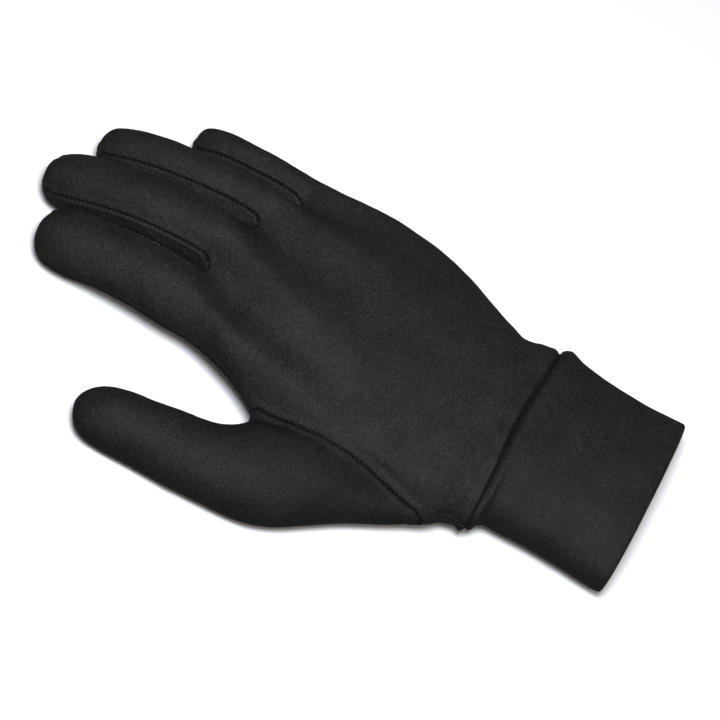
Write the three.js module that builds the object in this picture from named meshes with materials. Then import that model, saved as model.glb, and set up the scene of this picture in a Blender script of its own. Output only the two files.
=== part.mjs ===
// Glove liner for a right hand, knitted cloth, filled as worn and lying palm down.
// Millimetres. +Y runs from the cuff to the fingertips, -X to the thumb and +Z up.
// The origin is the middle of the flat that rests under the heel of the palm.
import * as THREE from 'three';

// Cloth
const wallThickness = 1.2;
const cuffThickness = 2.4;
const seamGap = 0.3;
const restFlattening = 1.6;

// Hand of the glove, measured from the wrist seam. Knuckle lift is the height of the middle
// knuckle's centre above the surface that the glove lies on.
const palmLength = 126;
const wristBreadth = 86;
const wristDepth = 34;
const knuckleLift = 25;
const middleAside = 3.6;

// Cuff
const cuffLength = 52;
const cuffBreadth = 76;
const cuffDepth = 33;
const cuffAside = 0.8;
const mouthRound = 0.8;

// Thumb: how far its tip reaches from the wrist seam, and how far it stands out to the side
const thumbReach = 142.5;
const thumbSpread = 76;
const thumbWidth = 24.6;

// Middle of the resting flat under the heel, from the wrist seam and the cuff's middle
const heelAlong = 33;
const heelAside = -3;

// Fingers from the thumb's side. Reach is from the wrist seam to the tip. Drop is how far the
// knuckle lies below the middle one, as a share of the knuckle lift. Lean is how far the tip
// moves aside, as a share of the finger's length. Roll turns the section away from the thumb,
// in degrees.
const fingers = [
  { name: 'index', width: 24.7, depth: 24, reach: 186.3, drop: 0.17, lean: 0.055, roll: -16 },
  { name: 'middle', width: 23.5, depth: 25, reach: 195, drop: 0, lean: 0, roll: -10 },
  { name: 'ring', width: 21.2, depth: 24, reach: 184.3, drop: 0.16, lean: 0.0, roll: 14 },
  { name: 'little', width: 17.4, depth: 19.6, reach: 155.5, drop: 0.44, lean: 0.08, roll: 20 },
];

// Where the fingers start, from the index finger's outer side to the little finger's. Along is
// a share of the palm's length. Back and front say how far the web's edges lie above and below
// the middle of the fingers, as shares of their depth. Gap is the room between two fingers.
const roots = [
  { along: 0.94, back: 0.3, front: 0.3, gap: 0 },
  { along: 1.0, back: 0.15, front: 0.22, gap: 1.8 },
  { along: 0.945, back: 0.22, front: 0.2, gap: 0.7 },
  { along: 0.865, back: 0.22, front: 0.2, gap: 0.6 },
  { along: 0.83, back: 0.3, front: 0.3, gap: 0 },
];

// Sections across the hand from above the wrist seam to the knuckles. Radial and ulnar are the
// reach to the thumb's side and to the other, as shares of the wrist's breadth. Top and bottom
// are shares of the wrist's depth. Knuckle says how far the section has turned into the
// knuckles.
const palmSections = [
  { along: 0.036, radial: 0.52, ulnar: 0.46, top: 0.99, bottom: -0.04, knuckle: 0 },
  { along: 0.08, radial: 0.545, ulnar: 0.44, top: 1.0, bottom: -0.05, knuckle: 0 },
  { along: 0.153, radial: 0.6, ulnar: 0.457, top: 0.99, bottom: -0.05, knuckle: 0 },
  { along: 0.33, radial: 0.62, ulnar: 0.571, top: 1.03, bottom: -0.05, knuckle: 0.05 },
  { along: 0.51, radial: 0.62, ulnar: 0.617, top: 1.1, bottom: 0.02, knuckle: 0.15 },
  { along: 0.69, radial: 0.6, ulnar: 0.625, top: 1.13, bottom: 0.13, knuckle: 0.35 },
  { along: 0.86, radial: 0.57, ulnar: 0.59, top: 1.13, bottom: 0.24, knuckle: 0.65 },
];

// The thumb's seam crosses four of the hand's sections, from the first one past its heel end.
// Aside is a share of the wrist's breadth and up a share of its depth, along its edge on the
// back and its edge on the palm.
const thumbSeam = [
  { backAside: 0.592, backUp: 0.57, palmAside: 0.58, palmUp: 0.26 },
  { backAside: 0.566, backUp: 0.735, palmAside: 0.45, palmUp: 0.08 },
  { backAside: 0.563, backUp: 0.8, palmAside: 0.465, palmUp: 0.12 },
  { backAside: 0.55, backUp: 0.6, palmAside: 0.5, palmUp: 0.33 },
];
const thumbSeamHeel = { along: 0.12, aside: 0.595, up: 0.43 };
const thumbSeamCrotch = { along: 0.7, aside: 0.535, up: 0.47 };

// Sections along a finger, as shares of its length. Girth is a share of width and depth. Lift
// is how much of the knuckle's height is left. Fourchette is half the side strip's width, in
// degrees round the finger.
const fingerSections = [
  { along: 0.12, girth: 1.0, lift: 1.0, fourchette: 36 },
  { along: 0.36, girth: 1.0, lift: 0.95, fourchette: 35 },
  { along: 0.6, girth: 0.985, lift: 0.64, fourchette: 34 },
  { along: 0.82, girth: 0.95, lift: 0.22, fourchette: 30 },
  { along: 0.945, girth: 0.7, lift: 0.02, fourchette: 20 },
];
const tipLift = -0.1;

// Sections of the cuff from the wrist seam to the mouth, as shares of its length, breadth and
// depth. Aside is a shift to the little finger's side, as a share of its breadth.
const cuffSections = [
  { along: 0.0, breadth: 1.109, depth: 0.979, aside: -0.0275 },
  { along: 0.07, breadth: 1.08, depth: 1.03, aside: 0.02 },
  { along: 0.2, breadth: 1.035, depth: 1.02, aside: 0.015 },
  { along: 0.55, breadth: 1.005, depth: 1.0, aside: 0.003 },
  { along: 0.9, breadth: 1.015, depth: 1.0, aside: 0 },
  { along: 1.0, breadth: 1.02, depth: 1.0, aside: 0 },
];

// Sections of the thumb from its seam to the tip. Each spans from an outer to an inner end,
// with aside a share of the thumb's spread and along a share of its reach. Thick is a share of
// the thumb's width.
const thumbSections = [
  { outerAside: 0.86, outerAlong: 0.27, innerAside: 0.69, innerAlong: 0.612, thick: 1.22 },
  { outerAside: 1.065, outerAlong: 0.42, innerAside: 0.745, innerAlong: 0.64, thick: 1.2 },
  { outerAside: 1.13, outerAlong: 0.565, innerAside: 0.785, innerAlong: 0.695, thick: 1.12 },
  { outerAside: 1.145, outerAlong: 0.715, innerAside: 0.8, innerAlong: 0.765, thick: 1.05 },
  { outerAside: 1.14, outerAlong: 0.84, innerAside: 0.82, innerAlong: 0.85, thick: 1.0 },
  { outerAside: 1.145, outerAlong: 0.92, innerAside: 0.85, innerAlong: 0.92, thick: 0.93 },
  { outerAside: 1.12, outerAlong: 0.965, innerAside: 0.895, innerAlong: 0.97, thick: 0.62 },
];

const clothColour = 0x26272b;
const cuffColour = 0x232428;
const clothRoughness = 0.9;

// A section of the hand has twenty columns. They run from the thumb's side over the back to
// the little finger's side, and back under the palm. A finger's section has eight.
const handColumns = 20;
const ulnarColumn = 10;
const columnFullness = 0.85;
const fittingRounds = 8;

const radians = THREE.MathUtils.degToRad;
const lerp = THREE.MathUtils.lerp;

const cage = { points: [], faces: [] };

function addPoint(point) {
  cage.points.push(point);
  return cage.points.length - 1;
}

function addFace(piece, corners) {
  cage.faces.push({ piece, corners });
}

// A sine or cosine with the sections' fuller corners
function fuller(value) {
  return Math.sign(value) * Math.abs(value) ** columnFullness;
}

// Sets the fingers side by side from the middle one.
function placeFingers() {
  const middle = 1;
  fingers[middle].aside = middleAside;
  for (let i = middle - 1; i >= 0; i -= 1) {
    const spacing = (fingers[i].width + fingers[i + 1].width) / 2 + roots[i + 1].gap;
    fingers[i].aside = fingers[i + 1].aside - spacing;
  }
  for (let i = middle + 1; i < fingers.length; i += 1) {
    const spacing = (fingers[i].width + fingers[i - 1].width) / 2 + roots[i].gap;
    fingers[i].aside = fingers[i - 1].aside + spacing;
  }
  fingers.forEach((finger, i) => {
    finger.start = (palmLength * (roots[i].along + roots[i + 1].along)) / 2;
    finger.length = finger.reach - finger.start;
    finger.knuckle = knuckleLift * (1 - finger.drop);
    finger.tip = finger.depth / 2 - restFlattening;
  });
}

// Middle of a finger's section
function fingerCentre(finger, along, lift) {
  const x = finger.aside + finger.lean * finger.length * along;
  const y = finger.start + finger.length * along;
  const z = finger.tip + (finger.knuckle - finger.tip) * lift;
  return new THREE.Vector3(x, y, z);
}

// Point on a finger's oval. The angle runs from its little finger's side upwards, and the
// section leans with the slope of the finger.
function fingerPoint(finger, centre, slope, angle, girth) {
  const turn = radians(angle);
  const roll = radians(finger.roll);
  const aside = (finger.width / 2) * girth * Math.cos(turn);
  const up = (finger.depth / 2) * girth * Math.sin(turn);
  const x = aside * Math.cos(roll) + up * Math.sin(roll);
  const z = up * Math.cos(roll) - aside * Math.sin(roll);
  return new THREE.Vector3(
    centre.x + x,
    centre.y - z * Math.sin(slope),
    centre.z + z * Math.cos(slope),
  );
}

// Angles of a finger's eight columns, from its thumb side over the back and under the front
function fingerAngles(half) {
  return [180, 180 - half, 90, half, 0, -half, -90, half - 180];
}

// Points of the web between two fingers: on the back, between them and on the front
function webPoints(i) {
  const before = fingers[i - 1];
  const after = fingers[i];
  const edge = before.aside + before.width / 2;
  const x = (edge + after.aside - after.width / 2) / 2;
  const y = palmLength * roots[i].along;
  const middle = (before.knuckle + after.knuckle) / 2;
  const depth = (before.depth + after.depth) / 2;
  return {
    back: new THREE.Vector3(x, y, middle + depth * roots[i].back),
    between: new THREE.Vector3(x, y, middle),
    front: new THREE.Vector3(x, y, middle - depth * roots[i].front),
  };
}

// The row of knuckles, one point for each of the hand's columns
function knuckleRow() {
  const row = [];
  const half = fingerSections[0].fourchette;
  const last = fingers.length - 1;
  fingers.forEach((finger, i) => {
    const centre = fingerCentre(finger, 0, 1);
    const angles = fingerAngles(half);
    const first = 1 + 2 * i;
    row[first + 1] = fingerPoint(finger, centre, 0, angles[2], 1);
    row[handColumns - first - 1] = fingerPoint(finger, centre, 0, angles[6], 1);
    if (i > 0) {
      const web = webPoints(i);
      row[first] = web.back;
      row[handColumns - first] = web.front;
    }
  });
  const index = fingerCentre(fingers[0], 0, 1);
  index.y = palmLength * roots[0].along;
  row[0] = fingerPoint(fingers[0], index, 0, 180, 1);
  row[1] = fingerPoint(fingers[0], index, 0, 180 - half, 1);
  row[handColumns - 1] = fingerPoint(fingers[0], index, 0, half - 180, 1);
  const little = fingerCentre(fingers[last], 0, 1);
  little.y = palmLength * roots[last + 1].along;
  row[ulnarColumn - 1] = fingerPoint(fingers[last], little, 0, half, 1);
  row[ulnarColumn] = fingerPoint(fingers[last], little, 0, 0, 1);
  row[ulnarColumn + 1] = fingerPoint(fingers[last], little, 0, -half, 1);
  return row;
}

// One section of the palm, blended into the knuckles
function palmRow(section, knuckles) {
  const left = -wristBreadth * section.radial;
  const right = wristBreadth * section.ulnar;
  const top = wristDepth * section.top;
  const bottom = wristDepth * section.bottom;
  return knuckles.map((knuckle, column) => {
    const turn = Math.PI - (2 * Math.PI * column) / handColumns;
    const x = (left + right) / 2 + ((right - left) / 2) * fuller(Math.cos(turn));
    const z = (top + bottom) / 2 + ((top - bottom) / 2) * fuller(Math.sin(turn));
    return new THREE.Vector3(
      lerp(x, knuckle.x, section.knuckle),
      section.along * lerp(palmLength, knuckle.y, section.knuckle),
      lerp(z, knuckle.z, section.knuckle),
    );
  });
}

// Height of the palm's underside below a place across its section
function undersideHeight(section, x) {
  const left = -wristBreadth * section.radial;
  const right = wristBreadth * section.ulnar;
  const top = wristDepth * section.top;
  const bottom = wristDepth * section.bottom;
  const offset = Math.abs(x - (left + right) / 2) / ((right - left) / 2);
  const cosine = Math.min(offset, 1) ** (1 / columnFullness);
  const sine = Math.sqrt(1 - cosine * cosine);
  return (top + bottom) / 2 - ((top - bottom) / 2) * sine ** columnFullness;
}

// Whether a section of the hand lies past the heel end of the thumb's seam
function pastThumbHeel(section) {
  return section.along > thumbSeamHeel.along;
}

// Moves the points beside the thumb's seam to it. The columns under the palm make room for it.
function seatThumbSeam(rows) {
  const back = 1;
  const front = handColumns - 1;
  const first = palmSections.findIndex(pastThumbHeel);
  thumbSeam.forEach((seam, i) => {
    const section = palmSections[first + i];
    const row = rows[first + i];
    const shift = -wristBreadth * seam.palmAside - row[front].x;
    for (let column = ulnarColumn + 1; column < front; column += 1) {
      const near = (column - ulnarColumn) / (front - ulnarColumn);
      row[column].x += shift * Math.sqrt(near);
      const height = undersideHeight(section, row[column].x);
      row[column].z = lerp(row[column].z, height, (1 - section.knuckle) * near);
    }
    row[back].x = -wristBreadth * seam.backAside;
    row[back].z = wristDepth * seam.backUp;
    row[front].x = -wristBreadth * seam.palmAside;
    row[front].z = wristDepth * seam.palmUp;
  });
  const ends = [thumbSeamHeel, thumbSeamCrotch];
  ends.forEach((end, i) => {
    const row = rows[first + i * (thumbSeam.length - 1)];
    row[0].set(-wristBreadth * end.aside, palmLength * end.along, wristDepth * end.up);
  });
}

// One section of the cuff
function cuffRow(section) {
  const halfBreadth = (cuffBreadth / 2) * section.breadth;
  const halfDepth = (cuffDepth / 2) * section.depth;
  const row = [];
  for (let column = 0; column < handColumns; column += 1) {
    const turn = Math.PI - (2 * Math.PI * column) / handColumns;
    const x = cuffAside + cuffBreadth * section.aside + halfBreadth * fuller(Math.cos(turn));
    const z = cuffDepth / 2 - restFlattening / 2 + halfDepth * fuller(Math.sin(turn));
    row.push(new THREE.Vector3(x, -cuffLength * section.along, z));
  }
  return row;
}

// Piece that a column of the hand belongs to
function handPiece(column) {
  return column < ulnarColumn ? 'back' : 'palm';
}

// Builds the hand and the cuff, and returns the rings of the hand.
function buildHand() {
  const knuckles = knuckleRow();
  const palmRows = palmSections.map((section) => palmRow(section, knuckles));
  seatThumbSeam(palmRows);
  const cuffRows = cuffSections.map(cuffRow).reverse();
  const rings = [...cuffRows, ...palmRows, knuckles].map((row) => row.map(addPoint));
  const wristRing = cuffRows.length - 1;
  const holeStart = cuffRows.length + palmSections.findIndex(pastThumbHeel);
  const holeEnd = holeStart + thumbSeam.length - 1;
  for (let k = 0; k + 1 < rings.length; k += 1) {
    for (let column = 0; column < handColumns; column += 1) {
      const next = (column + 1) % handColumns;
      const besideThumb = column === 0 || next === 0;
      const inHole = besideThumb && k >= holeStart && k < holeEnd;
      const piece = k < wristRing ? 'cuff' : handPiece(column);
      if (!inHole) {
        const above = rings[k + 1];
        addFace(piece, [rings[k][column], rings[k][next], above[next], above[column]]);
      }
    }
  }
  return { knuckleRing: rings[rings.length - 1], hole: rings.slice(holeStart, holeEnd + 1) };
}

// Name of the strip on a finger's side, or nothing on an outer side
function fourchetteName(i) {
  if (i < 1 || i >= fingers.length) {
    return null;
  }
  return `fourchette_${fingers[i - 1].name}_${fingers[i].name}`;
}

// Pieces of a finger's eight columns, from its thumb side over the back and under the front
function fingerPieces(i) {
  const thumbSide = fourchetteName(i);
  const littleSide = fourchetteName(i + 1);
  return [
    thumbSide ?? 'back',
    'back',
    'back',
    littleSide ?? 'back',
    littleSide ?? 'palm',
    'palm',
    'palm',
    thumbSide ?? 'palm',
  ];
}

// Closes a ring of an even number of points with a cap round a middle point.
function addCap(ring, middle, pieces) {
  for (let i = 0; i < ring.length; i += 2) {
    const next = ring[(i + 1) % ring.length];
    const after = ring[(i + 2) % ring.length];
    addFace(pieces[i / 2], [ring[i], next, after, middle]);
  }
}

// Joins two rings with a band of faces.
function addBand(lower, upper, pieces) {
  lower.forEach((point, i) => {
    const next = (i + 1) % lower.length;
    addFace(pieces[i], [point, lower[next], upper[next], upper[i]]);
  });
}

// Builds the fingers on the ring of knuckles.
function buildFingers(knuckleRing) {
  const webs = [1, 2, 3].map((i) => addPoint(webPoints(i).between));
  fingers.forEach((finger, i) => {
    const first = 1 + 2 * i;
    const last = fingers.length - 1;
    let ring = [
      i === 0 ? knuckleRing[0] : webs[i - 1],
      knuckleRing[first],
      knuckleRing[first + 1],
      knuckleRing[first + 2],
      i === last ? knuckleRing[ulnarColumn] : webs[i],
      knuckleRing[handColumns - first - 2],
      knuckleRing[handColumns - first - 1],
      knuckleRing[handColumns - first],
    ];
    const tip = fingerCentre(finger, 1, tipLift);
    const centres = fingerSections.map((s) => fingerCentre(finger, s.along, s.lift));
    centres.push(tip);
    fingerSections.forEach((section, k) => {
      const before = centres[Math.max(k - 1, 0)];
      const after = centres[k + 1];
      const slope = Math.atan2(after.z - before.z, after.y - before.y);
      const upper = fingerAngles(section.fourchette).map((angle) =>
        addPoint(fingerPoint(finger, centres[k], slope, angle, section.girth)),
      );
      addBand(ring, upper, fingerPieces(i));
      ring = upper;
    });
    addCap(ring, addPoint(tip), ['back', 'back', 'palm', 'palm']);
  });
}

// Builds the thumb on the edge of its hole, whose points run from the heel end over the back
// to the crotch and back along the palm.
function buildThumb(hole) {
  const back = hole.map((ring) => ring[1]);
  const front = hole.map((ring) => ring[handColumns - 1]);
  let ring = [hole[0][0], ...back, hole[hole.length - 1][0], ...front.reverse()];
  const pieces = ring.map(() => 'thumb');
  thumbSections.forEach((section) => {
    const outer = new THREE.Vector3(
      -thumbSpread * section.outerAside,
      thumbReach * section.outerAlong,
      0,
    );
    const inner = new THREE.Vector3(
      -thumbSpread * section.innerAside,
      thumbReach * section.innerAlong,
      0,
    );
    const centre = outer.clone().lerp(inner, 0.5);
    const across = inner.clone().sub(outer).multiplyScalar(0.5);
    const halfDepth = (thumbWidth / 2) * section.thick;
    const height = (thumbWidth / 2) * Math.max(section.thick, 1) - restFlattening / 2;
    const upper = ring.map((point, i) => {
      const turn = Math.PI - (2 * Math.PI * i) / ring.length;
      const x = centre.x + across.x * Math.cos(turn);
      const y = centre.y + across.y * Math.cos(turn);
      return addPoint(new THREE.Vector3(x, y, height + halfDepth * Math.sin(turn)));
    });
    addBand(ring, upper, pieces);
    ring = upper;
  });
  const tip = new THREE.Vector3(-thumbSpread, thumbReach, thumbWidth / 2 - restFlattening / 2);
  addCap(ring, addPoint(tip), pieces);
}

// Neighbours of each point of a mesh of four-sided faces
function neighbourhoods(mesh) {
  const around = mesh.points.map(() => ({ edges: new Map(), opposite: [] }));
  mesh.faces.forEach(({ corners }) => {
    corners.forEach((corner, i) => {
      const next = corners[(i + 1) % 4];
      const previous = corners[(i + 3) % 4];
      const { edges, opposite } = around[corner];
      edges.set(next, (edges.get(next) ?? 0) + 1);
      edges.set(previous, (edges.get(previous) ?? 0) + 1);
      opposite.push(corners[(i + 2) % 4]);
    });
  });
  return around;
}

// Where each point comes to lie when the mesh is subdivided for ever
function limitPoints(mesh, around) {
  return mesh.points.map((point, i) => {
    const { edges, opposite } = around[i];
    const rim = [...edges].filter(([, uses]) => uses === 1).map(([other]) => other);
    const sum = new THREE.Vector3();
    if (rim.length) {
      rim.forEach((other) => sum.add(mesh.points[other]));
      return sum.addScaledVector(point, 4).divideScalar(6);
    }
    const n = opposite.length;
    edges.forEach((uses, other) => sum.addScaledVector(mesh.points[other], 4));
    opposite.forEach((other) => sum.add(mesh.points[other]));
    return sum.addScaledVector(point, n * n).divideScalar(n * (n + 5));
  });
}

// Moves the cage's points until the smooth surface runs through the sections.
function fitCage() {
  const around = neighbourhoods(cage);
  const targets = cage.points.map((point) => point.clone());
  for (let round = 0; round < fittingRounds; round += 1) {
    const limits = limitPoints(cage, around);
    cage.points.forEach((point, i) => point.add(targets[i]).sub(limits[i]));
  }
}

// One step of smooth subdivision, each face into four
function subdivide(mesh) {
  const points = mesh.points.map((point) => point.clone());
  const middles = mesh.faces.map(({ corners }) => {
    const middle = new THREE.Vector3();
    corners.forEach((corner) => middle.add(mesh.points[corner]));
    points.push(middle.divideScalar(4));
    return points.length - 1;
  });
  const edges = new Map();
  const edgeKey = (a, b) => (a < b ? `${a} ${b}` : `${b} ${a}`);
  mesh.faces.forEach(({ corners }, f) => {
    corners.forEach((corner, i) => {
      const next = corners[(i + 1) % 4];
      const key = edgeKey(corner, next);
      const edge = edges.get(key) ?? { ends: [corner, next], faces: [] };
      edge.faces.push(middles[f]);
      edges.set(key, edge);
    });
  });
  edges.forEach((edge) => {
    const [a, b] = edge.ends;
    const point = mesh.points[a].clone().add(mesh.points[b]);
    if (edge.faces.length === 2) {
      edge.faces.forEach((middle) => point.add(points[middle]));
      point.divideScalar(4);
    } else {
      point.divideScalar(2);
    }
    points.push(point);
    edge.point = points.length - 1;
  });
  neighbourhoods(mesh).forEach(({ edges: near, opposite }, i) => {
    const rim = [...near].filter(([, uses]) => uses === 1).map(([other]) => other);
    const moved = new THREE.Vector3();
    if (rim.length) {
      rim.forEach((other) => moved.add(mesh.points[other]));
      points[i] = moved.addScaledVector(mesh.points[i], 6).divideScalar(8);
      return;
    }
    const n = opposite.length;
    near.forEach((uses, other) => moved.addScaledVector(mesh.points[other], 1.5));
    opposite.forEach((other) => moved.addScaledVector(mesh.points[other], 0.25));
    points[i] = moved.divideScalar(n * n).addScaledVector(mesh.points[i], 1 - 7 / (4 * n));
  });
  const faces = [];
  mesh.faces.forEach(({ piece, corners }, f) => {
    corners.forEach((corner, i) => {
      const next = corners[(i + 1) % 4];
      const previous = corners[(i + 3) % 4];
      const after = edges.get(edgeKey(corner, next)).point;
      const before = edges.get(edgeKey(previous, corner)).point;
      faces.push({ piece, corners: [corner, after, middles[f], before] });
    });
  });
  return { points, faces };
}

// The smooth outside of the glove, with its rounded underside flattened where it rests
function outsideSurface() {
  const fine = subdivide(cage);
  const points = limitPoints(fine, neighbourhoods(fine));
  points.forEach((point) => {
    point.z = Math.max(point.z, 0);
  });
  return { points, faces: fine.faces };
}

// Normal of a four-sided face, as long as the face is large
function faceNormal(points, [a, b, c, d]) {
  const diagonal = points[c].clone().sub(points[a]);
  return diagonal.cross(points[d].clone().sub(points[b]));
}

// Outward normal at each point of the whole surface
function pointNormals(surface) {
  const normals = surface.points.map(() => new THREE.Vector3());
  surface.faces.forEach(({ corners }) => {
    const normal = faceNormal(surface.points, corners);
    corners.forEach((corner) => normals[corner].add(normal));
  });
  normals.forEach((normal) => normal.normalize());
  return normals;
}

// Directed edges that one piece doesn't share with itself
function pieceRim(faces) {
  const rim = new Map();
  faces.forEach(({ corners }) => {
    corners.forEach((corner, i) => {
      const next = corners[(i + 1) % 4];
      const twin = `${next} ${corner}`;
      if (rim.has(twin)) {
        rim.delete(twin);
      } else {
        rim.set(`${corner} ${next}`, [corner, next]);
      }
    });
  });
  return [...rim.values()];
}

// Shifts of a piece's rim that leave half the seam's gap along each edge
function rimShifts(surface, normals, rim) {
  const inwards = new Map();
  rim.forEach(([a, b]) => {
    const edge = surface.points[b].clone().sub(surface.points[a]).normalize();
    [a, b].forEach((corner) => {
      const inward = normals[corner].clone().cross(edge).normalize();
      inwards.set(corner, [...(inwards.get(corner) ?? []), inward]);
    });
  });
  const shifts = new Map();
  inwards.forEach((directions, corner) => {
    const mean = new THREE.Vector3();
    directions.forEach((direction) => mean.add(direction));
    mean.normalize();
    const cosine = Math.max(mean.dot(directions[0]), 0.5);
    shifts.set(corner, mean.multiplyScalar(seamGap / 2 / cosine));
  });
  return shifts;
}

// Closed wall of one piece, from the surface inwards. A free rim is rounded.
function wallGeometry(surface, normals, piece, thickness, sharedEdges) {
  const faces = surface.faces.filter((face) => face.piece === piece);
  const rim = pieceRim(faces);
  const seams = rim.filter(([a, b]) => sharedEdges.has(`${b} ${a}`));
  const shifts = rimShifts(surface, normals, seams);
  const positions = [];
  const outerOf = new Map();
  const innerOf = new Map();
  const push = (point) => {
    positions.push(point.x, point.y, point.z);
    return positions.length / 3 - 1;
  };
  const vector = (index) => new THREE.Vector3().fromArray(positions, 3 * index);
  faces.forEach(({ corners }) => {
    corners.forEach((corner) => {
      if (!outerOf.has(corner)) {
        const outer = surface.points[corner].clone();
        outer.add(shifts.get(corner) ?? new THREE.Vector3());
        outerOf.set(corner, push(outer));
        innerOf.set(corner, push(outer.addScaledVector(normals[corner], -thickness)));
      }
    });
  });
  const triangles = [];
  const addQuad = (a, b, c, d) => {
    if (vector(a).distanceTo(vector(c)) < vector(b).distanceTo(vector(d))) {
      triangles.push(a, b, c, a, c, d);
    } else {
      triangles.push(a, b, d, b, c, d);
    }
  };
  faces.forEach(({ corners }) => {
    const [a, b, c, d] = corners.map((corner) => outerOf.get(corner));
    const [e, f, g, h] = corners.map((corner) => innerOf.get(corner));
    addQuad(a, b, c, d);
    addQuad(h, g, f, e);
  });
  const rounded = new Map();
  const roundedPoint = (corner) => {
    if (!rounded.has(corner)) {
      const middle = vector(outerOf.get(corner)).lerp(vector(innerOf.get(corner)), 0.5);
      middle.y -= mouthRound;
      rounded.set(corner, push(middle));
    }
    return rounded.get(corner);
  };
  rim.forEach(([a, b]) => {
    if (sharedEdges.has(`${b} ${a}`)) {
      addQuad(outerOf.get(b), outerOf.get(a), innerOf.get(a), innerOf.get(b));
    } else {
      addQuad(outerOf.get(b), outerOf.get(a), roundedPoint(a), roundedPoint(b));
      addQuad(roundedPoint(b), roundedPoint(a), innerOf.get(a), innerOf.get(b));
    }
  });
  const geometry = new THREE.BufferGeometry();
  geometry.setAttribute('position', new THREE.Float32BufferAttribute(positions, 3));
  geometry.setIndex(triangles);
  geometry.computeVertexNormals();
  return geometry;
}

placeFingers();
const hand = buildHand();
buildFingers(hand.knuckleRing);
buildThumb(hand.hole);
fitCage();

const surface = outsideSurface();
const normals = pointNormals(surface);
const sharedEdges = new Set();
surface.faces.forEach(({ corners }) => {
  corners.forEach((corner, i) => sharedEdges.add(`${corner} ${corners[(i + 1) % 4]}`));
});

const glove = new THREE.Group();
glove.name = 'glove_liner';
glove.position.set(-heelAside, -heelAlong, 0);

const pieces = [...new Set(surface.faces.map((face) => face.piece))];
pieces.forEach((piece) => {
  const isCuff = piece === 'cuff';
  const thickness = isCuff ? cuffThickness : wallThickness;
  const material = new THREE.MeshStandardMaterial({
    color: isCuff ? cuffColour : clothColour,
    roughness: clothRoughness,
    metalness: 0,
  });
  const geometry = wallGeometry(surface, normals, piece, thickness, sharedEdges);
  const mesh = new THREE.Mesh(geometry, material);
  mesh.name = piece;
  glove.add(mesh);
});

export default glove;
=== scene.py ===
import math

import bpy
import numpy as np
from mathutils import Matrix, Vector, noise
from mathutils.kdtree import KDTree


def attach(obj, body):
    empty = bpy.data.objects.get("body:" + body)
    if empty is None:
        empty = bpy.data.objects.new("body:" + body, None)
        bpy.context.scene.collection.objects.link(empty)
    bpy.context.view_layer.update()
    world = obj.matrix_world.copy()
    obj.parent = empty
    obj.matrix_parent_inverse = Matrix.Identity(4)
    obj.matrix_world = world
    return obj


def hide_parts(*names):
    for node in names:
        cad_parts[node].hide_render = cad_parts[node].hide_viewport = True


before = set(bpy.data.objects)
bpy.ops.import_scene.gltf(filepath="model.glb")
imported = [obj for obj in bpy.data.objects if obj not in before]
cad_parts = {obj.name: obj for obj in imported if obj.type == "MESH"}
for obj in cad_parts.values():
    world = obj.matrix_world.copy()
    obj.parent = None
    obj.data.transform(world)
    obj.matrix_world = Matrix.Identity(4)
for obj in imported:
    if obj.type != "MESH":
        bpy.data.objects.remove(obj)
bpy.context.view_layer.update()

MM = 0.001

# Lengths below are millimetres, measured from the wrist seam unless a comment says otherwise.
# Meshes and the scene are in metres.

# Cloth
WALL_THICKNESS = 1.2
CUFF_THICKNESS = 2.4
SEAM_GAP = 0.05
REST_FLATTENING = 1.6

# Hand of the glove
PALM_LENGTH = 126
WRIST_BREADTH = 86
WRIST_DEPTH = 34
KNUCKLE_LIFT = 25
MIDDLE_ASIDE = 3.6

# Cuff
CUFF_LENGTH = 52
CUFF_BREADTH = 76
CUFF_DEPTH = 33
CUFF_ASIDE = 0.8

# Thumb
THUMB_REACH = 142.5
THUMB_SPREAD = 76
THUMB_WIDTH = 24.6

# Middle of the resting flat under the heel, which is the frame's origin
HEEL_ALONG = 33
HEEL_ASIDE = -3

# Fingers from the thumb's side. Drop is a share of the knuckle lift, lean a share of the
# finger's length, and roll is in degrees.
FINGERS = [
    dict(name="index", width=24.7, depth=24, reach=186.3, drop=0.17, lean=0.055, roll=-16),
    dict(name="middle", width=23.5, depth=25, reach=195, drop=0, lean=0, roll=-10),
    dict(name="ring", width=21.2, depth=24, reach=184.3, drop=0.16, lean=0, roll=14),
    dict(name="little", width=17.4, depth=19.6, reach=155.5, drop=0.44, lean=0.08, roll=20),
]

# Where the fingers start. Along is a share of the palm's length, back and front are shares of
# the fingers' depth, and gap is the room between two fingers.
ROOTS = [
    dict(along=0.94, back=0.3, front=0.3, gap=0),
    dict(along=1.0, back=0.15, front=0.22, gap=1.8),
    dict(along=0.945, back=0.22, front=0.2, gap=0.7),
    dict(along=0.865, back=0.22, front=0.2, gap=0.6),
    dict(along=0.83, back=0.3, front=0.3, gap=0),
]

# Sections across the hand, as shares of the wrist's breadth and depth
PALM_SECTIONS = [
    dict(along=0.036, radial=0.52, ulnar=0.46, top=0.99, bottom=-0.04, knuckle=0),
    dict(along=0.08, radial=0.545, ulnar=0.44, top=1.0, bottom=-0.05, knuckle=0),
    dict(along=0.153, radial=0.6, ulnar=0.457, top=0.99, bottom=-0.05, knuckle=0),
    dict(along=0.33, radial=0.62, ulnar=0.571, top=1.03, bottom=-0.05, knuckle=0.05),
    dict(along=0.51, radial=0.62, ulnar=0.617, top=1.1, bottom=0.02, knuckle=0.15),
    dict(along=0.69, radial=0.6, ulnar=0.625, top=1.13, bottom=0.13, knuckle=0.35),
    dict(along=0.86, radial=0.57, ulnar=0.59, top=1.13, bottom=0.24, knuckle=0.65),
]

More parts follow.
